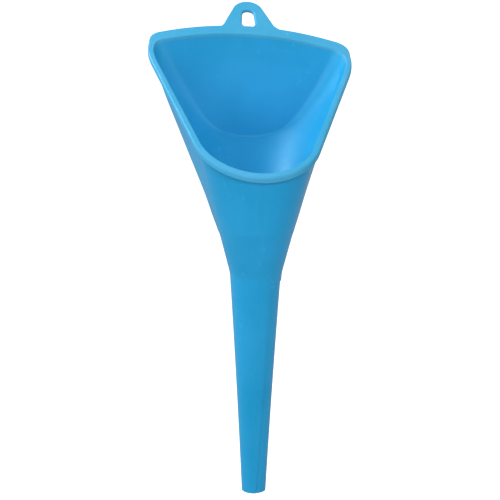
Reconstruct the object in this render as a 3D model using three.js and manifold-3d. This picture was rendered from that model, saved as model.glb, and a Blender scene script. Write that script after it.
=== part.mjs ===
// Long-neck scoop funnel, moulded in one piece and modelled region by region.
// Millimetres, +Z up along the spout. The origin is the centre of the outlet.
// The scoop's low front lip faces -Y and its upright back panel faces +Y.
import * as THREE from 'three';
import { ParametricGeometry } from 'three/addons/geometries/ParametricGeometry.js';
import { mergeVertices } from 'three/addons/utils/BufferGeometryUtils.js';
import Module from 'manifold-3d';

// ---- driving dimensions -------------------------------------------------
const GAP = 0.3; // clearance kept between neighbouring regions
const WALL = 1.35; // wall thickness of the scoop and the spout

const SPOUT_LENGTH = 140; // outlet to the break below the cone
const TIP_RADIUS = 7.75; // outside, at the outlet
const MIDDLE_RADIUS = 11.5; // outside, half way up the spout
const NECK_RADIUS = 15.9; // outside, at the break
const TIP_HEIGHT = 12; // length of the outlet end region
const COLLAR_HEIGHT = 7.5; // height of the neck collar above the break

const VENT_START = 4.6; // the vent recess starts this far below the break
const VENT_WIDTH = 7.0; // how far the recess reaches in from the +X side
const VENT_DEPTH = 0.6;

const CONE_SLOPE = 0.2614; // radius gained per unit of height
const SCOOP_START = 26.7; // height above the break where the cone opens backwards
const SLOPE_SHIFT = 0.488; // how fast the leaning back wall's centre moves back
const SLOPE_GROWTH = 0.4255; // how fast the leaning back wall's radius grows
const SIDE_GROWTH = 0.2; // how much faster it grows at the sides, where it meets the side walls
const SIDE_GROWTH_FROM = THREE.MathUtils.degToRad(65);
const SIDE_GROWTH_TO = THREE.MathUtils.degToRad(105);
const SIDE_DIVERGENCE = THREE.MathUtils.degToRad(13.7); // side walls spread to the back
const PANEL_DISTANCE = 65.7; // back panel to the spout axis
const PANEL_CURVE = 198.8; // plan radius of the back panel
const CREASE_BLEND = 1.5; // size of the fillet under the panel
const CORNER_BLEND = 17.5; // size of the fillet in the panel's upper corners
const SIDE_BLEND = 4.5; // size of the fillet between side walls and leaning back wall
const SIDE_BLEND_RISE = 25; // height over which that fillet grows to its full size
const BLEND_FROM = THREE.MathUtils.degToRad(15); // crease fillet up to this angle
const BLEND_TO = THREE.MathUtils.degToRad(45); // corner fillet from this angle

const LIP_HEIGHT = 62.2; // front lip above the break, on the outer wall
const MOUTH_TILT = THREE.MathUtils.degToRad(38.4); // mouth plane, rising to the back
const MOUTH_CANT = -0.065; // mouth plane drops slightly towards +X

const RIM_THICKNESS = 1.5;
const RIM_OVERHANG = 2.35; // beyond the outer wall at the front and sides
const BACK_OVERHANG = 5.9; // beyond the outer wall at the back
const CORNER_TURN_FROM = 0.15; // share of +Y in the rim's direction where it starts to widen
const CORNER_TURN_TO = 0.8; // and where it has widened fully
const SKIRT_HEIGHT = 3.4; // outer edge turned straight down, measured from the top face
const SKIRT_THICKNESS = 1.4;
const RIM_ROUND = 0.9; // rounding of the rim's outer top edge

const TAB_REACH = 22.3; // beyond the rim's outer edge
const TAB_RADIUS = 10; // rounded end
const TAB_ROOT_WIDTH = 40; // where the tab leaves the rim
const TAB_LEAN = THREE.MathUtils.degToRad(24); // flanks lean in towards the rounded end
const TAB_SHIFT = -0.8; // the tab stands slightly to the -X side
const TAB_THICKNESS = 2.8;
const TAB_INSET = 5.0; // how far the tab's root runs in over the rim
const FOOT_RISE = 1.5; // the flanks start to flare into the rim this far above its edge
const FOOT_DROP = 2.4; // and reach the root's full width this far below it
const SLOT_HEAD = 10.6; // centre of the slot's narrow end beyond the rim's outer edge
const SLOT_HEAD_RADIUS = 3.6;
const SLOT_FOOT = 3.2; // centre of its wide end
const SLOT_FOOT_RADIUS = 4.2;

const PANEL_HALF_ANGLE = THREE.MathUtils.degToRad(42);
const FRONT_START = Math.PI / 2 + SIDE_DIVERGENCE; // where the side wall meets the cone

const COLOUR_BODY = 0x2d9bdc;
const COLOUR_RIM = 0x50b4e6;

// ---- wall surfaces: angle 0 points to +Y and grows towards +X -----------
const mouthSlope = Math.tan(MOUTH_TILT);
const mouthNormal = new THREE.Vector3(-MOUTH_CANT, -mouthSlope, 1).normalize();
const lipRadius = NECK_RADIUS + CONE_SLOPE * LIP_HEIGHT;

function spoutRadius(z) {
  const t = z / SPOUT_LENGTH;
  return TIP_RADIUS * (1 - t) * (1 - 2 * t)
    + 4 * MIDDLE_RADIUS * t * (1 - t)
    + NECK_RADIUS * t * (2 * t - 1);
}

function coneRadius(z) {
  return NECK_RADIUS + CONE_SLOPE * (z - SPOUT_LENGTH);
}

// how far an angle is turned away from +Y, to either side
function spreadOf(angle) {
  return Math.abs(Math.atan2(Math.sin(angle), Math.cos(angle)));
}

// front cone carried straight back along its tangent side planes
function sideRadius(angle, z) {
  const spread = spreadOf(angle);
  if (spread >= FRONT_START) return coneRadius(z);
  return coneRadius(z) / Math.max(Math.cos(FRONT_START - spread), 1e-2);
}

function panelRadius(angle) {
  const s = Math.sin(angle);
  const c = Math.cos(angle);
  const bend = (s * s) / (2 * PANEL_CURVE);
  if (bend < 1e-9) return c > 0 ? PANEL_DISTANCE / c : 1e4;
  return (Math.sqrt(c * c + 4 * bend * PANEL_DISTANCE) - c) / (2 * bend);
}

// leaning lower back wall: an oblique cone that starts at the top of the plain cone
function slopeRadius(angle, z) {
  const start = SPOUT_LENGTH + SCOOP_START;
  const rise = Math.max(z - start, 0);
  const radius = coneRadius(start) + SLOPE_GROWTH * rise;
  const shift = SLOPE_SHIFT * rise;
  const across = shift * Math.sin(angle);
  const side = THREE.MathUtils.smoothstep(spreadOf(angle), SIDE_GROWTH_FROM, SIDE_GROWTH_TO);
  return shift * Math.cos(angle) + Math.sqrt(radius * radius - across * across)
    + SIDE_GROWTH * rise * side;
}

// the smaller of two radii, rounded over where they cross
function filletMin(a, b, size) {
  const overlap = Math.max(size - Math.abs(a - b), 0) / size;
  return Math.min(a, b) - (overlap * overlap * size) / 4;
}

function outerRadius(angle, z) {
  const start = SPOUT_LENGTH + SCOOP_START;
  if (z <= start) return coneRadius(z);
  const ease = THREE.MathUtils.smoothstep(z, start, start + SIDE_BLEND_RISE);
  const sideBlend = Math.max(SIDE_BLEND * ease, 1e-3);
  const bowl = filletMin(sideRadius(angle, z), slopeRadius(angle, z), sideBlend);
  const corner = THREE.MathUtils.smoothstep(spreadOf(angle), BLEND_FROM, BLEND_TO);
  const panelBlend = THREE.MathUtils.lerp(CREASE_BLEND, CORNER_BLEND, corner);
  return filletMin(bowl, panelRadius(angle), panelBlend);
}

function wallPoint(angle, z, depth) {
  const r = outerRadius(angle, z) - depth;
  return new THREE.Vector3(r * Math.sin(angle), r * Math.cos(angle), z);
}

function solveHeight(low, high, isAbove) {
  let a = low;
  let b = high;
  for (let i = 0; i < 40; i += 1) {
    const middle = (a + b) / 2;
    if (isAbove(middle)) b = middle;
    else a = middle;
  }
  return (a + b) / 2;
}

// height where the wall meets the mouth plane lowered by drop along its normal
function mouthHeight(angle, drop, depth) {
  const base = SPOUT_LENGTH + LIP_HEIGHT - drop / mouthNormal.z;
  return solveHeight(SPOUT_LENGTH + SCOOP_START, 2 * SPOUT_LENGTH + 60, (z) => {
    const p = wallPoint(angle, z, depth);
    return z > base + mouthSlope * (p.y + lipRadius) + MOUTH_CANT * p.x;
  });
}

// height where the leaning back wall reaches the upright panel
function creaseHeight(angle) {
  const start = SPOUT_LENGTH + SCOOP_START;
  return solveHeight(start, 2 * SPOUT_LENGTH, (z) => slopeRadius(angle, z) > panelRadius(angle));
}

// ---- mesh helpers -------------------------------------------------------
function plain(geometry) {
  geometry.deleteAttribute('normal');
  geometry.deleteAttribute('uv');
  return mergeVertices(geometry, 1e-4);
}

// a closed ring: stations round the axis, loop(angle) gives the section's corners
function ring(stations, corners, loop) {
  const sections = [];
  for (let i = 0; i < stations; i += 1) {
    sections.push(loop((2 * Math.PI * i) / stations));
  }
  const at = (u, v, target) => {
    const station = Math.round(u * stations) % stations;
    const corner = Math.round(v * corners) % corners;
    target.copy(sections[station][corner]);
  };
  return plain(new ParametricGeometry(at, stations, corners));
}

// a curved plate: a box whose cells are carried onto a stretch of the wall
function plate(from, to, columns, rows, bottom, top) {
  const box = plain(new THREE.BoxGeometry(1, 1, 1, columns, rows, 1));
  const position = box.getAttribute('position');
  for (let i = 0; i < position.count; i += 1) {
    const angle = THREE.MathUtils.lerp(from, to, 0.5 - position.getX(i));
    const share = position.getY(i) + 0.5;
    const depth = (0.5 - position.getZ(i)) * WALL;
    const z = THREE.MathUtils.lerp(bottom(angle), top(angle, depth), share);
    const p = wallPoint(angle, z, depth);
    position.setXYZ(i, p.x, p.y, p.z);
  }
  return box;
}

const wasm = await Module();
wasm.setup();

function toSolid(geometry) {
  const merged = plain(geometry);
  return new wasm.Manifold(new wasm.Mesh({
    numProp: 3,
    vertProperties: new Float32Array(merged.getAttribute('position').array),
    triVerts: new Uint32Array(merged.getIndex().array),
  }));
}

function toGeometry(solid) {
  const mesh = solid.getMesh();
  const geometry = new THREE.BufferGeometry();
  geometry.setAttribute('position', new THREE.BufferAttribute(mesh.vertProperties, 3));
  geometry.setIndex(new THREE.BufferAttribute(mesh.triVerts, 1));
  return geometry;
}

// ---- spout --------------------------------------------------------------
function taperedTube(from, to, steps, growth = 0, thickness = WALL) {
  const profile = [];
  for (let i = 0; i <= steps; i += 1) {
    const z = THREE.MathUtils.lerp(from, to, i / steps);
    profile.push(new THREE.Vector2(spoutRadius(z) + growth, z));
  }
  for (let i = steps; i >= 0; i -= 1) {
    const z = THREE.MathUtils.lerp(from, to, i / steps);
    profile.push(new THREE.Vector2(spoutRadius(z) + growth - thickness, z));
  }
  profile.push(profile[0].clone());
  return new THREE.LatheGeometry(profile, 48).rotateX(Math.PI / 2);
}

// everything further out on the +X side than the recess's straight edge
function ventSide() {
  const top = SPOUT_LENGTH - VENT_START;
  const edgeTop = spoutRadius(top) - VENT_WIDTH;
  const edgeTip = spoutRadius(0) - VENT_WIDTH;
  const drop = (edgeTop - edgeTip) / top;
  const outline = new THREE.Shape([
    new THREE.Vector2(edgeTip - drop, -1),
    new THREE.Vector2(2 * NECK_RADIUS, -1),
    new THREE.Vector2(2 * NECK_RADIUS, top),
    new THREE.Vector2(edgeTop, top),
  ]);
  const depth = 3 * NECK_RADIUS;
  return new THREE.ExtrudeGeometry(outline, { depth, bevelEnabled: false })
    .rotateX(Math.PI / 2)
    .translate(0, depth / 2, 0);
}

function ventCutter() {
  const skin = toSolid(taperedTube(-0.5, SPOUT_LENGTH + 1, 4, 2, 2 + VENT_DEPTH));
  return skin.intersect(toSolid(ventSide()));
}

function spoutRegion(from, to, steps) {
  const tube = toSolid(taperedTube(from, to, steps));
  return toGeometry(tube.subtract(ventCutter()));
}

// ---- neck and cone ------------------------------------------------------
function coneRing(from, to) {
  const profile = [
    new THREE.Vector2(coneRadius(from), from),
    new THREE.Vector2(coneRadius(to), to),
    new THREE.Vector2(coneRadius(to) - WALL, to),
    new THREE.Vector2(coneRadius(from) - WALL, from),
    new THREE.Vector2(coneRadius(from), from),
  ];
  return new THREE.LatheGeometry(profile, 48).rotateX(Math.PI / 2);
}

// ---- scoop walls --------------------------------------------------------
const scoopBottom = () => SPOUT_LENGTH + SCOOP_START + GAP;
const scoopTop = (angle, depth) => mouthHeight(angle, RIM_THICKNESS + GAP, depth);
const gapAngle = GAP / PANEL_DISTANCE; // cut from each side of an upright joint

function backPanel() {
  const edge = PANEL_HALF_ANGLE - gapAngle;
  return plate(-edge, edge, 22, 6, (angle) => creaseHeight(angle) + GAP / 2, scoopTop);
}

function backSlope() {
  const edge = PANEL_HALF_ANGLE - gapAngle;
  return plate(-edge, edge, 22, 12, scoopBottom, (angle) => creaseHeight(angle) - GAP / 2);
}

function sideWall(side) {
  const from = side > 0 ? PANEL_HALF_ANGLE + gapAngle : -FRONT_START + gapAngle;
  const to = side > 0 ? FRONT_START - gapAngle : -PANEL_HALF_ANGLE - gapAngle;
  return plate(from, to, 16, 14, scoopBottom, scoopTop);
}

function frontWall() {
  const from = FRONT_START + gapAngle;
  return plate(from, 2 * Math.PI - from, 28, 8, scoopBottom, scoopTop);
}

// ---- rim ----------------------------------------------------------------
function mouthPoint(angle) {
  return wallPoint(angle, mouthHeight(angle, 0, 0), 0);
}

// direction in the mouth plane, square to its outline and pointing out
function mouthOutward(angle) {
  const step = 0.01;
  const along = mouthPoint(angle + step).sub(mouthPoint(angle - step));
  return along.cross(mouthNormal).negate().normalize();
}

// the overhang widens round the corners, as the rim turns to face +Y
function overhang(outward) {
  const back = THREE.MathUtils.smoothstep(outward.y, CORNER_TURN_FROM, CORNER_TURN_TO);
  return THREE.MathUtils.lerp(RIM_OVERHANG, BACK_OVERHANG, back);
}

function rimSection(angle) {
  const origin = mouthPoint(angle);
  const outward = mouthOutward(angle);
  const reach = overhang(outward);
  const at = (out, drop) => origin.clone().addScaledVector(outward, out).setZ(
    origin.z + out * outward.z - drop,
  );
  return [
    wallPoint(angle, mouthHeight(angle, 0, WALL), WALL),
    at(reach - RIM_ROUND, 0),
    at(reach - 0.3 * RIM_ROUND, 0.3 * RIM_ROUND),
    at(reach, RIM_ROUND),
    at(reach, SKIRT_HEIGHT),
    at(reach - SKIRT_THICKNESS, SKIRT_HEIGHT),
    at(reach - SKIRT_THICKNESS, RIM_THICKNESS / mouthNormal.z),
    wallPoint(angle, mouthHeight(angle, RIM_THICKNESS, WALL), WALL),
  ];
}

// ---- hanging tab --------------------------------------------------------
// the tab lies in the mouth plane; its frame sits on the rim's outer back edge
function tabFrame() {
  const outward = mouthOutward(0);
  const upSlope = new THREE.Vector3(0, 1, mouthSlope).normalize();
  const across = upSlope.clone().cross(mouthNormal).normalize();
  const origin = mouthPoint(0)
    .addScaledVector(outward, BACK_OVERHANG)
    .addScaledVector(across, TAB_SHIFT);
  return new THREE.Matrix4().makeBasis(across, upSlope, mouthNormal).setPosition(origin);
}

function tabOutline(margin) {
  const radius = TAB_RADIUS + margin;
  const centre = TAB_REACH - TAB_RADIUS;
  const root = TAB_ROOT_WIDTH / 2 + margin;
  const inner = -TAB_INSET - margin;
  const shoulder = centre + radius * Math.sin(TAB_LEAN);
  const flank = (y) => radius * Math.cos(TAB_LEAN) + (shoulder - y) * Math.tan(TAB_LEAN);
  const outline = new THREE.Shape();
  outline.moveTo(-root, inner);
  outline.lineTo(root, inner);
  outline.lineTo(root, -FOOT_DROP);
  outline.quadraticCurveTo(flank(0), 0, flank(FOOT_RISE), FOOT_RISE);
  outline.absarc(0, centre, radius, TAB_LEAN, Math.PI - TAB_LEAN, false);
  outline.lineTo(-flank(FOOT_RISE), FOOT_RISE);
  outline.quadraticCurveTo(-flank(0), 0, -root, -FOOT_DROP);
  outline.closePath();
  return outline;
}

// two round ends of different size, joined by their tangents
function slotPath() {
  const lean = Math.asin((SLOT_FOOT_RADIUS - SLOT_HEAD_RADIUS) / (SLOT_HEAD - SLOT_FOOT));
  const slot = new THREE.Path();
  slot.absarc(0, SLOT_HEAD, SLOT_HEAD_RADIUS, lean, Math.PI - lean, false);
  slot.absarc(0, SLOT_FOOT, SLOT_FOOT_RADIUS, Math.PI - lean, 2 * Math.PI + lean, false);
  slot.closePath();
  return slot;
}

function hangingTab() {
  const outline = tabOutline(0);
  outline.holes.push(slotPath());
  const settings = { depth: TAB_THICKNESS, bevelEnabled: false, curveSegments: 12 };
  return new THREE.ExtrudeGeometry(outline, settings)
    .translate(0, 0, -TAB_THICKNESS)
    .applyMatrix4(tabFrame());
}

function rimFlange() {
  const solid = toSolid(ring(112, 8, rimSection));
  const settings = { depth: 3 * SKIRT_HEIGHT, bevelEnabled: false, curveSegments: 12 };
  const cutter = new THREE.ExtrudeGeometry(tabOutline(GAP), settings)
    .translate(0, 0, -2 * SKIRT_HEIGHT)
    .applyMatrix4(tabFrame());
  return toGeometry(solid.subtract(toSolid(cutter)));
}

// ---- assembly -----------------------------------------------------------
const bodyPlastic = new THREE.MeshStandardMaterial({
  color: COLOUR_BODY, roughness: 0.38, metalness: 0,
});
const rimPlastic = new THREE.MeshStandardMaterial({
  color: COLOUR_RIM, roughness: 0.34, metalness: 0,
});

const funnel = new THREE.Group();

function add(name, geometry, material) {
  const mesh = new THREE.Mesh(geometry, material);
  mesh.name = name;
  funnel.add(mesh);
}

const coneStart = SPOUT_LENGTH + COLLAR_HEIGHT;
add('spout_tip', spoutRegion(0, TIP_HEIGHT, 1), bodyPlastic);
add('spout_tube', spoutRegion(TIP_HEIGHT + GAP, SPOUT_LENGTH - GAP, 4), bodyPlastic);
add('neck_collar', coneRing(SPOUT_LENGTH, coneStart), bodyPlastic);
add('lower_cone', coneRing(coneStart + GAP, SPOUT_LENGTH + SCOOP_START), bodyPlastic);
add('front_wall', frontWall(), bodyPlastic);
add('left_side_wall', sideWall(-1), bodyPlastic);
add('right_side_wall', sideWall(1), bodyPlastic);
add('back_slope', backSlope(), bodyPlastic);
add('back_panel', backPanel(), bodyPlastic);
add('rim_flange', rimFlange(), rimPlastic);
add('hanging_tab', hangingTab(), rimPlastic);

export default funnel;
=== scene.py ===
"""Looks of the long-neck scoop funnel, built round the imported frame. Metres, +Z up."""

import math

import bpy
from mathutils import Matrix, Vector
from mathutils.geometry import tessellate_polygon


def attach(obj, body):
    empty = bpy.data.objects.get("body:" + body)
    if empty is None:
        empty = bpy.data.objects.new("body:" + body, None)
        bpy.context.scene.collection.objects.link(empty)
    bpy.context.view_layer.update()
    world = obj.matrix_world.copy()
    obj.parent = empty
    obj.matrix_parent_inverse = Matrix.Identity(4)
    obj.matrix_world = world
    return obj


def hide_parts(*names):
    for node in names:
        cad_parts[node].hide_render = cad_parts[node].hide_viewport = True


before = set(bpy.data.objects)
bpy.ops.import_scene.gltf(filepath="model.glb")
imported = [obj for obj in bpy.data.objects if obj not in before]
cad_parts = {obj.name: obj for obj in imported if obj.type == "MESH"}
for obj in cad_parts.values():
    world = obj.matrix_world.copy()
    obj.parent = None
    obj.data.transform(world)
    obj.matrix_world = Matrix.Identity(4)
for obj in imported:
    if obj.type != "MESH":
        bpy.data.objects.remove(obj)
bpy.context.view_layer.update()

MM = 0.001

# ---- dimensions in millimetres, as the frame's parts have them ------------------------
WALL = 1.35
SPOUT_LENGTH = 140.0
TIP_RADIUS = 7.75
MIDDLE_RADIUS = 11.5
NECK_RADIUS = 15.9
TIP_HEIGHT = 12.0
COLLAR_HEIGHT = 7.5
VENT_START = 4.6
VENT_WIDTH = 7.0
VENT_DEPTH = 0.6
CONE_SLOPE = 0.2614
SCOOP_START = 26.7
SLOPE_SHIFT = 0.488
SLOPE_GROWTH = 0.4255
SIDE_GROWTH = 0.2
SIDE_GROWTH_FROM = math.radians(65)
SIDE_GROWTH_TO = math.radians(105)
SIDE_DIVERGENCE = math.radians(13.7)
PANEL_DISTANCE = 65.7
PANEL_CURVE = 198.8
CORNER_BLEND = 17.5
SIDE_BLEND = 4.5
SIDE_BLEND_RISE = 25.0
BLEND_FROM = math.radians(15)
BLEND_TO = math.radians(45)
LIP_HEIGHT = 62.2
MOUTH_TILT = math.radians(38.4)
MOUTH_CANT = -0.065
RIM_THICKNESS = 1.5
RIM_OVERHANG = 2.35
BACK_OVERHANG = 5.9
CORNER_TURN_FROM = 0.15
CORNER_TURN_TO = 0.8
SKIRT_HEIGHT = 3.4
SKIRT_THICKNESS = 1.4
TAB_REACH = 22.3
TAB_RADIUS = 10.0
TAB_ROOT_WIDTH = 40.0
TAB_LEAN = math.radians(24)
TAB_SHIFT = -0.8
TAB_THICKNESS = 2.8
TAB_INSET = 5.0
FOOT_RISE = 1.5
FOOT_DROP = 2.4
SLOT_HEAD = 10.6
SLOT_HEAD_RADIUS = 3.6
SLOT_FOOT = 3.2
SLOT_FOOT_RADIUS = 4.2
PANEL_HALF_ANGLE = math.radians(42)
FRONT_START = math.pi / 2 + SIDE_DIVERGENCE

# ---- softening that only the looks have; the crease is crisper than in the frame's parts -
CREASE_BLEND = 0.8
NECK_BLEND = 0.5
START_BLEND = 4.0
RIDGE_HEIGHT = 0.11
RIDGE_HALF_WIDTH = 0.22
RIM_ROUND = 1.1
INNER_ROUND = 0.5
SKIRT_ROUND = 0.5
TIP_ROUND = 0.3
TAB_ROUND = 0.7
SLOT_ROUND = 1.2
TAB_LIFT = 0.03
VENT_SOFT = 0.25
ROUND_STEPS = 5
RIM_STATIONS = 360

mouth_slope = math.tan(MOUTH_TILT)
mouth_normal = Vector((-MOUTH_CANT, -mouth_slope, 1)).normalized()
lip_radius = NECK_RADIUS + CONE_SLOPE * LIP_HEIGHT
scoop_start = SPOUT_LENGTH + SCOOP_START
vent_top = SPOUT_LENGTH - VENT_START
UP = Vector((0, 0, 1))

# ---- fineness of the calculations ------------------------------------------------------
HALVINGS = 36
SETTLE_ROUNDS = 5
POINTS_PER_MM = 2000
NORMAL_STEP = 0.05
OUTWARD_STEP = 0.01
SMALLEST_BLEND = 1e-3
SMALLEST_COSINE = 1e-2
STRAIGHT = 1e-9
OUT_OF_REACH = 1e4


def lerp(a, b, t):
    return a + (b - a) * t


def smoothstep(x, low, high):
    t = min(max((x - low) / (high - low), 0), 1)
    return t * t * (3 - 2 * t)


# ---- wall surfaces: angle 0 points to +Y and grows towards +X --------------------------
def spout_radius(z):
    t = z / SPOUT_LENGTH
    return (TIP_RADIUS * (1 - t) * (1 - 2 * t) + 4 * MIDDLE_RADIUS * t * (1 - t)
            + NECK_RADIUS * t * (2 * t - 1))


def cone_radius(z):
    return NECK_RADIUS + CONE_SLOPE * (z - SPOUT_LENGTH)


def spread_of(angle):
    return abs(math.atan2(math.sin(angle), math.cos(angle)))


def side_radius(angle, z):
    spread = spread_of(angle)
    if spread >= FRONT_START:
        return cone_radius(z)
    return cone_radius(z) / max(math.cos(FRONT_START - spread), SMALLEST_COSINE)


def panel_radius(angle):
    s, c = math.sin(angle), math.cos(angle)
    bend = s * s / (2 * PANEL_CURVE)
    if bend < STRAIGHT:
        return PANEL_DISTANCE / c if c > 0 else OUT_OF_REACH
    return (math.sqrt(c * c + 4 * bend * PANEL_DISTANCE) - c) / (2 * bend)


def rise_above_start(z):
    over = z - scoop_start
    if over <= -START_BLEND:
        return 0.0
    if over >= START_BLEND:
        return over
    return (over + START_BLEND) ** 2 / (4 * START_BLEND)


def slope_radius(angle, z):
    rise = rise_above_start(z)
    radius = cone_radius(min(z, scoop_start)) + SLOPE_GROWTH * rise
    shift = SLOPE_SHIFT * rise
    across = shift * math.sin(angle)
    side = smoothstep(spread_of(angle), SIDE_GROWTH_FROM, SIDE_GROWTH_TO)
    return (shift * math.cos(angle) + math.sqrt(radius ** 2 - across ** 2)
            + SIDE_GROWTH * rise * side)


def fillet_min(a, b, size):
    overlap = max(size - abs(a - b), 0) / size
    return min(a, b) - overlap * overlap * size / 4


def scoop_radius(angle, z):
    ease = smoothstep(z, scoop_start - START_BLEND, scoop_start + SIDE_BLEND_RISE)
    size = max(SIDE_BLEND * ease, SMALLEST_BLEND)
    bowl = fillet_min(side_radius(angle, z), slope_radius(angle, z), size)
    corner = smoothstep(spread_of(angle), BLEND_FROM, BLEND_TO)
    return fillet_min(bowl, panel_radius(angle), lerp(CREASE_BLEND, CORNER_BLEND, corner))


def outer_radius(angle, z):
    if z > scoop_start - START_BLEND:
        return scoop_radius(angle, z)
    return -fillet_min(-spout_radius(z), -cone_radius(z), NECK_BLEND)


def wall_point(angle, z, depth=0.0):
    r = outer_radius(angle, z) - depth
    return Vector((r * math.sin(angle), r * math.cos(angle), z))


def solve_height(low, high, is_above):
    for _ in range(HALVINGS):
        middle = (low + high) / 2
        if is_above(middle):
            high = middle
        else:
            low = middle
    return (low + high) / 2


def mouth_height(angle, drop=0.0, depth=0.0):
    base = SPOUT_LENGTH + LIP_HEIGHT - drop / mouth_normal.z

    def above(z):
        p = wall_point(angle, z, depth)
        return z > base + mouth_slope * (p.y + lip_radius) + MOUTH_CANT * p.x

    return solve_height(scoop_start, 2 * SPOUT_LENGTH + 60, above)


def crease_height(angle):
    return solve_height(scoop_start, 2 * SPOUT_LENGTH,
                        lambda z: slope_radius(angle, z) > panel_radius(angle))


# ---- mesh building ---------------------------------------------------------------------
class Skin:
    """Collects faces with their own corner normals and makes one closed, shaded mesh."""

    def __init__(self):
        self.points, self.index, self.faces, self.normals = [], {}, [], []

    def vertex(self, p):
        key = tuple(round(value * POINTS_PER_MM) for value in p)
        if key not in self.index:
            self.index[key] = len(self.points)
            self.points.append(p * MM)
        return self.index[key]

    def face(self, corners, flat=False):
        ids, kept = [], []
        for p, n in corners:
            i = self.vertex(p)
            if i not in ids:
                ids.append(i)
                kept.append((p, n))
        if len(ids) < 3:
            return
        facing = Vector()
        for k in range(1, len(kept) - 1):
            facing += (kept[k][0] - kept[0][0]).cross(kept[k + 1][0] - kept[0][0])
        wanted = sum((n for _, n in kept), Vector())
        if facing.dot(wanted) < 0:
            ids.reverse()
            kept.reverse()
            facing = -facing
        self.faces.append(ids)
        self.normals.extend([facing.normalized() if flat else n for _, n in kept])

    def grid(self, rows, closed=False, flat=False):
        """rows of (point, normal), all of one length; closed joins the last column to the first."""
        for low, high in zip(rows, rows[1:]):
            count = len(low)
            for k in range(count if closed else count - 1):
                m = (k + 1) % count
                self.face([low[k], low[m], high[m], high[k]], flat)

    def build(self, name, material):
        mesh = bpy.data.meshes.new(name)
        mesh.from_pydata(self.points, [], self.faces)
        mesh.shade_smooth()
        mesh.normals_split_custom_set([tuple(n) for n in self.normals])
        mesh.materials.append(material)
        piece = bpy.data.objects.new(name, mesh)
        bpy.context.scene.collection.objects.link(piece)
        return piece


def spaced(start, end, count):
    return [lerp(start, end, k / count) for k in range(count + 1)]


# ---- skins: the wall surfaces with the details that are only a fraction of a millimetre
def parting_ridge(angle, radius):
    """The mould's parting line, a fine ridge down the front and the back."""
    offset = radius * math.sin(angle)
    return RIDGE_HEIGHT * math.exp(-(offset / RIDGE_HALF_WIDTH) ** 2)


def vent_edge(z):
    """How far towards +X the straight edge of the spout's vent recess lies."""
    top = spout_radius(vent_top) - VENT_WIDTH
    tip = spout_radius(0) - VENT_WIDTH
    return lerp(tip, top, z / vent_top)


def vent_recess(angle, radius, z):
    if z > SPOUT_LENGTH:
        return 0.0
    across = smoothstep(radius * math.sin(angle) - vent_edge(z), -VENT_SOFT, VENT_SOFT)
    return VENT_DEPTH * across * (1 - smoothstep(z, vent_top - VENT_SOFT, vent_top + VENT_SOFT))


def outlet_round(z):
    if z >= TIP_ROUND:
        return 0.0
    return TIP_ROUND - math.sqrt(TIP_ROUND ** 2 - (TIP_ROUND - z) ** 2)


def outer_skin(angle, z):
    radius = outer_radius(angle, z)
    radius += parting_ridge(angle, radius) - vent_recess(angle, radius, z) - outlet_round(z)
    return Vector((radius * math.sin(angle), radius * math.cos(angle), z))


def inner_skin(angle, z):
    radius = outer_radius(angle, z) - WALL + outlet_round(z)
    return Vector((radius * math.sin(angle), radius * math.cos(angle), z))


def skin_corner(skin, angle, z, facing):
    """The skin's point and its normal, which points out (1) or in (-1)."""
    p = skin(angle, z)
    turn = NORMAL_STEP / max(math.hypot(p.x, p.y), 1)
    low, high = max(z - NORMAL_STEP, 0), z + NORMAL_STEP
    along = skin(angle + turn, z) - skin(angle - turn, z)
    upward = skin(angle, high) - skin(angle, low)
    return p, along.cross(upward).normalized() * -facing


# ---- columns: each gives the angle it runs at for a height ------------------------------
def at_angle(angle):
    return lambda z: angle


def beside_ridge(angle, offset):
    return lambda z: angle + offset / outer_radius(angle, z)


def beside_vent(offset, front):
    def column(z):
        share = (vent_edge(min(z, vent_top)) + offset) / spout_radius(min(z, SPOUT_LENGTH))
        angle = math.asin(min(share, 1))
        return math.pi - angle if front else angle
    return column


def between(first, last, count):
    def column(share):
        return lambda z: lerp(first(z), last(z), share)
    return [column(k / count) for k in range(1, count)]


def settled(limit, column, inside):
    """The height at which a column, whose angle changes a little with height, ends."""
    z = scoop_start
    for _ in range(SETTLE_ROUNDS):
        z = limit(column(z), inside)
    return z


def plate(name, columns, bottom, top, shares, material):
    """A closed curved plate of the wall between two heights, given for each angle."""
    skin = Skin()
    faces = {}
    for facing, surface in ((1, outer_skin), (-1, inner_skin)):
        inside = WALL if facing < 0 else 0.0
        grid = []
        for column in columns:
            start = settled(bottom, column, inside)
            end = settled(top, column, inside)
            grid.append([skin_corner(surface, column(z), z, facing)
                         for z in (lerp(start, end, share) for share in shares)])
        skin.grid(grid)
        faces[facing] = grid
    join_edges(skin, faces[1], faces[-1])
    return finish(skin, name, material)


def join_edges(skin, outer, inner):
    """Flat faces round the four edges between a plate's two sides."""
    for side, sign in ((0, -1), (-1, 1)):
        middle = outer[side][0][0] - outer[side + 1 if side == 0 else side - 1][0][0]
        cap(skin, outer[side], inner[side], middle)
        edge_out = [column[side] for column in outer]
        edge_in = [column[side] for column in inner]
        cap(skin, edge_out, edge_in, UP * sign)


def cap(skin, first, second, facing):
    rows = [[(p, facing) for p, _ in first], [(p, facing) for p, _ in second]]
    skin.grid(rows, flat=True)


def tube(name, columns, heights, material):
    """A closed ring of the spout or the cone between the first and last height."""
    skin = Skin()
    outer = [[skin_corner(outer_skin, c(z), z, 1) for c in columns] for z in heights]
    inner = [[skin_corner(inner_skin, c(z), z, -1) for c in columns] for z in heights]
    skin.grid(outer, closed=True)
    skin.grid(inner, closed=True)
    for row, facing in ((0, -UP), (-1, UP)):
        ends = [[(p, facing) for p, _ in side[row]] for side in (outer, inner)]
        skin.grid(ends, closed=True, flat=True)
    return finish(skin, name, material)


def finish(skin, name, material):
    piece = skin.build("funnel_" + name, materials[material])
    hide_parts(name)
    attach(piece, "root")
    return piece


# ---- rim and tab ------------------------------------------------------------------------
def mouth_point(angle):
    return wall_point(angle, mouth_height(angle))


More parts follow.
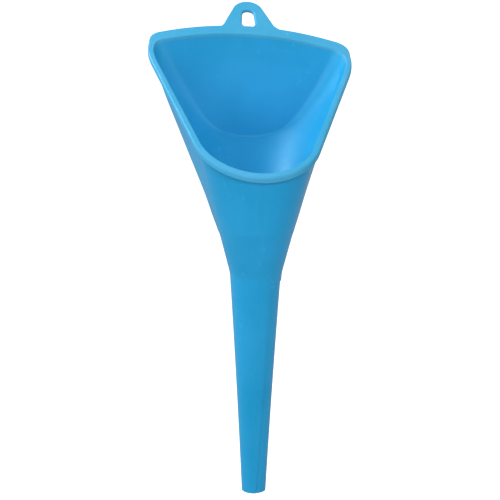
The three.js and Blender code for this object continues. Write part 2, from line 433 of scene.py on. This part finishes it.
def mouth_outward(angle):
    along = mouth_point(angle + OUTWARD_STEP) - mouth_point(angle - OUTWARD_STEP)
    return -along.cross(mouth_normal).normalized()


def rim_corners(angle):
    """Corners of the rim's section and how far each is rounded, from the bowl outwards."""
    origin = mouth_point(angle)
    outward = mouth_outward(angle)
    back = smoothstep(outward.y, CORNER_TURN_FROM, CORNER_TURN_TO)
    reach = lerp(RIM_OVERHANG, BACK_OVERHANG, back)

    def at(out, drop):
        return origin + outward * out - UP * drop

    return [
        (wall_point(angle, mouth_height(angle, 0, WALL), WALL), INNER_ROUND),
        (at(reach, 0), RIM_ROUND),
        (at(reach, SKIRT_HEIGHT), SKIRT_ROUND),
        (at(reach - SKIRT_THICKNESS, SKIRT_HEIGHT), SKIRT_ROUND),
        (at(reach - SKIRT_THICKNESS, RIM_THICKNESS / mouth_normal.z), 0),
        (wall_point(angle, mouth_height(angle, RIM_THICKNESS, WALL), WALL), 0),
    ]


def rounded_corner(before, corner, after, size):
    """Points and directions round a corner, as a short curve with the corner as its guide."""
    into = (corner - before).normalized()
    out = (after - corner).normalized()
    if size == 0:
        return [(corner, into), (corner, out)]
    start, end = corner - into * size, corner + out * size
    steps = [k / ROUND_STEPS for k in range(ROUND_STEPS + 1)]
    return [(start * (1 - t) ** 2 + corner * 2 * t * (1 - t) + end * t * t,
             (into * (1 - t) + out * t).normalized()) for t in steps]


def rim_section(angle):
    corners = rim_corners(angle)
    section = []
    for k, (corner, size) in enumerate(corners):
        before, after = corners[k - 1][0], corners[(k + 1) % len(corners)][0]
        section += rounded_corner(before, corner, after, size)
    return section


def rim_flange():
    skin = Skin()
    sections = [rim_section(2 * math.pi * k / RIM_STATIONS) for k in range(RIM_STATIONS)]
    rows = []
    for k, section in enumerate(sections):
        following = sections[(k + 1) % RIM_STATIONS]
        row = []
        for j, (p, direction) in enumerate(section):
            along = following[j][0] - sections[k - 1][j][0]
            row.append((p, along.cross(direction).normalized()))
        rows.append(row)
    skin.grid(rows + [rows[0]], closed=True)
    return finish(skin, "rim_flange", "rim_plastic")


def arc(centre_y, radius, start, end, count):
    return [(radius * math.cos(a), centre_y + radius * math.sin(a))
            for a in spaced(start, end, count)]


def bow(start, guide, end, count):
    return [tuple((1 - t) ** 2 * start[i] + 2 * t * (1 - t) * guide[i] + t * t * end[i]
                  for i in (0, 1)) for t in spaced(0, 1, count)]


def tab_outline():
    centre = TAB_REACH - TAB_RADIUS
    root = TAB_ROOT_WIDTH / 2
    shoulder = centre + TAB_RADIUS * math.sin(TAB_LEAN)

    def flank(y):
        return TAB_RADIUS * math.cos(TAB_LEAN) + (shoulder - y) * math.tan(TAB_LEAN)

    right = bow((root, -FOOT_DROP), (flank(0), 0), (flank(FOOT_RISE), FOOT_RISE), 12)
    left = [(-x, y) for x, y in reversed(right)]
    crown = arc(centre, TAB_RADIUS, TAB_LEAN, math.pi - TAB_LEAN, 48)
    return [(-root, -TAB_INSET), (root, -TAB_INSET)] + right + crown + left


def slot_outline():
    lean = math.asin((SLOT_FOOT_RADIUS - SLOT_HEAD_RADIUS) / (SLOT_HEAD - SLOT_FOOT))
    return (arc(SLOT_HEAD, SLOT_HEAD_RADIUS, lean, math.pi - lean, 24)
            + arc(SLOT_FOOT, SLOT_FOOT_RADIUS, math.pi - lean, 2 * math.pi + lean, 28))


def outline_normals(outline):
    """Directions square to an outline that runs anticlockwise, pointing to its outside."""
    normals = []
    for k, point in enumerate(outline):
        before, after = outline[k - 1], outline[(k + 1) % len(outline)]
        along = Vector((after[0] - before[0], after[1] - before[1]))
        normals.append(Vector((along.y, -along.x)).normalized())
    return normals


def tab_edge(outline, rounding, sign):
    """Rounded edge loops of a tab outline, top to bottom, and their normals in tab space."""
    loops = []
    normals = outline_normals(outline)
    turns = spaced(0, math.pi / 2, ROUND_STEPS)
    stops = [(t, 0) for t in turns] + [(t, 1) for t in reversed(turns)]
    for turn, bottom in stops:
        inset = rounding * (1 - math.sin(turn)) * sign
        drop = rounding * (1 - math.cos(turn))
        height = -TAB_THICKNESS + drop if bottom else TAB_LIFT - drop
        rise = -math.cos(turn) if bottom else math.cos(turn)
        loops.append([(Vector((x - n.x * inset, y - n.y * inset, height)),
                       Vector((n.x * math.sin(turn) * sign, n.y * math.sin(turn) * sign, rise)))
                      for (x, y), n in zip(outline, normals)])
    return loops


def hanging_tab():
    upslope = Vector((0, 1, mouth_slope)).normalized()
    across = upslope.cross(mouth_normal).normalized()
    origin = mouth_point(0) + mouth_outward(0) * BACK_OVERHANG + across * TAB_SHIFT
    turn = Matrix((across, upslope, mouth_normal)).transposed()
    skin = Skin()

    def place(corner):
        return origin + turn @ corner[0], turn @ corner[1]

    edges = [tab_edge(tab_outline(), TAB_ROUND, 1), tab_edge(slot_outline(), SLOT_ROUND, -1)]
    for loops in edges:
        skin.grid([[place(c) for c in loop] for loop in loops], closed=True)
    for level, rise in ((0, 1), (-1, -1)):
        rings = [[place((p, Vector((0, 0, rise)))) for p, _ in loops[level]] for loops in edges]
        flat = [[Vector((p.x, p.y, 0)) for p, _ in loops[level]] for loops in edges]
        corners = rings[0] + rings[1]
        for triangle in tessellate_polygon(flat):
            skin.face([corners[i] for i in triangle], flat=True)
    return finish(skin, "hanging_tab", "rim_plastic")


# ---- materials --------------------------------------------------------------------------
class Nodes:
    """A short way to add nodes to a material and join them."""

    def __init__(self, name):
        self.material = bpy.data.materials.new(name)
        self.material.use_nodes = True
        self.tree = self.material.node_tree
        self.shader = self.tree.nodes["Principled BSDF"]
        self.place = self.add("ShaderNodeTexCoord").outputs["Object"]

    def add(self, kind, links=None, **settings):
        node = self.tree.nodes.new(kind)
        for key, value in settings.items():
            setattr(node, key, value)
        for key, value in (links or {}).items():
            self.set(node.inputs[key], value)
        return node

    def set(self, socket, value):
        if isinstance(value, bpy.types.NodeSocket):
            self.tree.links.new(value, socket)
        else:
            socket.default_value = value

    def noise(self, scale, detail=3.0, stretch=(1, 1, 1), turn=(0, 0, 0), distortion=0.0):
        moved = self.add("ShaderNodeMapping", {
            "Vector": self.place, "Scale": stretch, "Rotation": turn})
        return self.add("ShaderNodeTexNoise", {
            "Vector": moved.outputs[0], "Scale": scale, "Detail": detail,
            "Distortion": distortion}).outputs["Fac"]

    def fit(self, value, low, high, to_low, to_high):
        return self.add("ShaderNodeMapRange", {
            "Value": value, "From Min": low, "From Max": high,
            "To Min": to_low, "To Max": to_high}).outputs[0]

    def mix(self, factor, first, second, blend="MIX"):
        node = self.add("ShaderNodeMix", data_type="RGBA", blend_type=blend)
        self.set(node.inputs["Factor"], factor)
        self.set(node.inputs[6], first)
        self.set(node.inputs[7], second)
        return node.outputs[2]

    def math(self, operation, first, second):
        return self.add("ShaderNodeMath", {0: first, 1: second}, operation=operation).outputs[0]


def moulded_plastic(name, deep, bright, worn, roughness):
    """Semi-gloss polyethylene: cloudy colour, flow marks from moulding, fine scuffs."""
    n = Nodes(name)
    cloud = n.noise(22, detail=4, distortion=0.4)
    flow = n.noise(60, detail=3, stretch=(1, 1, 0.16))
    grain = n.noise(1400, detail=2)
    ripple = n.noise(95, detail=1)
    scuff_one = n.noise(240, detail=2, stretch=(1, 0.07, 1), turn=(0.5, 0.3, 0.9))
    scuff_two = n.noise(300, detail=2, stretch=(0.06, 1, 1), turn=(0.2, 0.7, 0.4))
    patch = n.fit(n.noise(35, detail=2), 0.5, 0.66, 0, 1)
    scratches = n.math("MAXIMUM", n.fit(scuff_one, 0.66, 0.74, 0, 1),
                       n.fit(scuff_two, 0.68, 0.76, 0, 1))
    worn_share = n.math("MULTIPLY", scratches, n.fit(patch, 0, 1, 0.05, 0.5))
    tone = n.mix(n.fit(cloud, 0.35, 0.65, 0, 1), deep, bright)
    tone = n.mix(n.fit(flow, 0.55, 0.8, 0, 0.18), tone, worn)
    n.set(n.shader.inputs["Base Color"], n.mix(worn_share, tone, worn))
    sheen_change = n.fit(n.math("ADD", cloud, flow), 0.8, 1.25, roughness - 0.04, roughness + 0.05)
    n.set(n.shader.inputs["Roughness"], n.math(
        "ADD", sheen_change, n.math("MULTIPLY", worn_share, 0.25)))
    relief = n.math("ADD", n.math("MULTIPLY", grain, 0.16), n.math("MULTIPLY", ripple, 1.0))
    relief = n.math("SUBTRACT", relief, n.math("MULTIPLY", worn_share, 0.1))
    bump = n.add("ShaderNodeBump", {"Height": relief, "Strength": 0.35, "Distance": 0.0004})
    n.set(n.shader.inputs["Normal"], bump.outputs[0])
    n.shader.inputs["IOR"].default_value = 1.5
    n.shader.inputs["Specular IOR Level"].default_value = 0.4
    n.shader.inputs["Specular Tint"].default_value = (0.4, 0.8, 1, 1)
    n.shader.inputs["Subsurface Weight"].default_value = 0.12
    n.shader.inputs["Subsurface Radius"].default_value = (0.3, 0.7, 1.0)
    n.shader.inputs["Subsurface Scale"].default_value = 0.002
    return n.material


materials = {
    "body_plastic": moulded_plastic(
        "blue_body_plastic", (0.012, 0.29, 0.565, 1), (0.020, 0.32, 0.62, 1),
        (0.04, 0.42, 0.70, 1), 0.36),
    # The rim and tab get a copy of the body plastic that is whiter, with more red and less blue.
    # This is painted sheen: the pale wash of light along the rim, not a different plastic.
    "rim_plastic": moulded_plastic(
        "blue_rim_plastic", (0.04, 0.30, 0.51, 1), (0.06, 0.33, 0.56, 1),
        (0.11, 0.45, 0.68, 1), 0.34),
}

# ---- the pieces -------------------------------------------------------------------------
RIDGE_OFFSETS = (-0.9, -0.45, -0.22, 0, 0.22, 0.45, 0.9)
VENT_OFFSETS = (-0.4, -0.25, -0.12, 0, 0.12, 0.25, 0.4)


def ridge_columns(angle):
    return [beside_ridge(angle, offset) for offset in RIDGE_OFFSETS]


def round_columns():
    """Columns of the spout and cone, once round: back ridge, vent's edges, front ridge."""
    back, front, again = (ridge_columns(a) for a in (0, math.pi, 2 * math.pi))
    near = [beside_vent(offset, False) for offset in VENT_OFFSETS]
    far = [beside_vent(offset, True) for offset in reversed(VENT_OFFSETS)]
    right = near + between(near[-1], far[0], 36) + far
    return (back + between(back[-1], near[0], 8) + right + between(far[-1], front[0], 16)
            + front + between(front[-1], again[0], 72))


def even_columns(start, end, count):
    return [at_angle(angle) for angle in spaced(start, end, count)]


def centred_columns(middle, half, count):
    ridge = ridge_columns(middle)
    first, last = at_angle(middle - half), at_angle(middle + half)
    return ([first] + between(first, ridge[0], count) + ridge
            + between(ridge[-1], last, count) + [last])


def floor_of_scoop(angle, inside):
    return scoop_start


def top_of_wall(angle, inside):
    return mouth_height(angle, RIM_THICKNESS, inside)


def crease_line(angle, inside):
    return crease_height(angle)


def make_funnel():
    columns = round_columns()
    body = "body_plastic"
    tip_heights = [TIP_ROUND * (1 - math.cos(t)) for t in spaced(0, math.pi / 2, 6)]
    tip_heights += spaced(0.6, TIP_HEIGHT, 12)
    tube_heights = (spaced(TIP_HEIGHT, vent_top - 1, 60)
                    + spaced(vent_top - 0.5, vent_top + 0.5, 10)
                    + spaced(vent_top + 0.9, SPOUT_LENGTH, 12))
    cone_start = SPOUT_LENGTH + COLLAR_HEIGHT
    tube("spout_tip", columns, tip_heights, body)
    tube("spout_tube", columns, tube_heights, body)
    tube("neck_collar", columns, spaced(SPOUT_LENGTH, cone_start, 24), body)
    tube("lower_cone", columns, spaced(cone_start, scoop_start, 24), body)
    towards_end = [1 - (1 - t) ** 2 for t in spaced(0, 1, 56)]
    from_start = [t * t for t in spaced(0, 1, 44)]
    even = spaced(0, 1, 60)
    back = centred_columns(0, PANEL_HALF_ANGLE, 42)
    plate("back_slope", back, floor_of_scoop, crease_line, towards_end, body)
    plate("back_panel", back, crease_line, top_of_wall, from_start, body)
    right = even_columns(PANEL_HALF_ANGLE, FRONT_START, 60)
    left = even_columns(-FRONT_START, -PANEL_HALF_ANGLE, 60)
    plate("right_side_wall", right, floor_of_scoop, top_of_wall, even, body)
    plate("left_side_wall", left, floor_of_scoop, top_of_wall, even, body)
    front = centred_columns(math.pi, math.pi - FRONT_START, 40)
    plate("front_wall", front, floor_of_scoop, top_of_wall, even[::2], body)
    rim_flange()
    hanging_tab()


make_funnel()

# ---- floor, light and camera -------------------------------------------------------------
FLOOR_HEIGHT = -0.45
FLOOR_SIZE = 30.0
AMBIENT = 0.46
LIGHTS = (
    ("left", (-1.0, 0.1, 1.0), (0, 0.02, 0.2), (0.7, 1.0), 10),
    ("above", (-0.55, 0.15, 1.1), (0, 0.02, 0.25), (0.2, 0.4), 5),
    ("front_left", (-0.98, -0.96, 0.5), (0, 0.02, 0.28), (0.7, 0.7), 5.5),
    ("front", (0, -1.24, 0.8), (0, 0.02, 0.28), (0.7, 1.0), 6.5),
    ("right", (0.96, -0.94, 0.56), (0, 0.02, 0.28), (0.7, 0.7), 4.5),
)


def pale_floor():
    """A plain pale floor. It is lit by itself, so that no light bounces up from it."""
    half, z = FLOOR_SIZE / 2, FLOOR_HEIGHT
    mesh = bpy.data.meshes.new("floor")
    mesh.from_pydata([(-half, -half, z), (half, -half, z), (half, half, z), (-half, half, z)],
                     [], [(0, 1, 2, 3)])
    n = Nodes("pale_floor")
    n.set(n.shader.inputs["Base Color"], n.mix(
        n.noise(2), (0.93, 0.93, 0.93, 1), (0.95, 0.95, 0.95, 1)))
    n.shader.inputs["Roughness"].default_value = 0.8
    n.shader.inputs["Emission Color"].default_value = (1, 1, 1, 1)
    n.shader.inputs["Emission Strength"].default_value = 0.8
    mesh.materials.append(n.material)
    floor = bpy.data.objects.new("floor", mesh)
    floor.visible_diffuse = False
    floor.visible_glossy = False
    bpy.context.scene.collection.objects.link(floor)


def soft_light(name, place, aim, size, power):
    data = bpy.data.lights.new(name, "AREA")
    data.shape = "RECTANGLE"
    data.size, data.size_y = size
    data.energy = power
    lamp = bpy.data.objects.new(name, data)
    lamp.location = place
    lamp.rotation_euler = (Vector(aim) - Vector(place)).to_track_quat("-Z", "Y").to_euler()
    lamp.visible_camera = False
    bpy.context.scene.collection.objects.link(lamp)


def studio():
    """A white room that gives soft ambient light, and the soft boxes."""
    world = bpy.data.worlds.new("studio")
    world.use_nodes = True
    tree = world.node_tree
    room = tree.nodes["Background"]
    room.inputs["Color"].default_value = (1, 1, 1, 1)
    room.inputs["Strength"].default_value = AMBIENT
    backdrop = tree.nodes.new("ShaderNodeBackground")
    backdrop.inputs["Color"].default_value = (1, 1, 1, 1)
    seen = tree.nodes.new("ShaderNodeLightPath")
    either = tree.nodes.new("ShaderNodeMixShader")
    tree.links.new(seen.outputs["Is Camera Ray"], either.inputs[0])
    tree.links.new(room.outputs[0], either.inputs[1])
    tree.links.new(backdrop.outputs[0], either.inputs[2])
    tree.links.new(either.outputs[0], tree.nodes["World Output"].inputs["Surface"])
    bpy.context.scene.world = world
    for light in LIGHTS:
        soft_light(*light)
    bpy.context.scene.view_settings.view_transform = "Standard"


CAMERA_AZIMUTH = math.radians(-3.93)
CAMERA_ELEVATION = math.radians(12.56)
CAMERA_ROLL = math.radians(0.42)
CAMERA_DISTANCE = 1.0810
AIM_ASIDE = -0.00365
AIM_HEIGHT = 0.1539
CAMERA_LENS = 127.87
CAMERA_SENSOR = 36


def photographer():
    azimuth, elevation, roll = CAMERA_AZIMUTH, CAMERA_ELEVATION, CAMERA_ROLL
    right = Vector((math.cos(azimuth), math.sin(azimuth), 0))
    ahead = Vector((-math.sin(azimuth) * math.cos(elevation),
                    math.cos(azimuth) * math.cos(elevation), -math.sin(elevation)))
    above = right.cross(ahead)
    rolled_right = right * math.cos(roll) + above * math.sin(roll)
    rolled_up = above * math.cos(roll) - right * math.sin(roll)
    target = right * AIM_ASIDE + UP * AIM_HEIGHT
    turn = Matrix((rolled_right, rolled_up, -ahead)).transposed().to_4x4()
    data = bpy.data.cameras.new("camera")
    data.lens, data.sensor_width = CAMERA_LENS, CAMERA_SENSOR
    camera = bpy.data.objects.new("camera", data)
    camera.matrix_world = Matrix.Translation(target - ahead * CAMERA_DISTANCE) @ turn
    bpy.context.scene.collection.objects.link(camera)
    bpy.context.scene.camera = camera


pale_floor()
studio()
photographer()

bpy.context.view_layer.update()
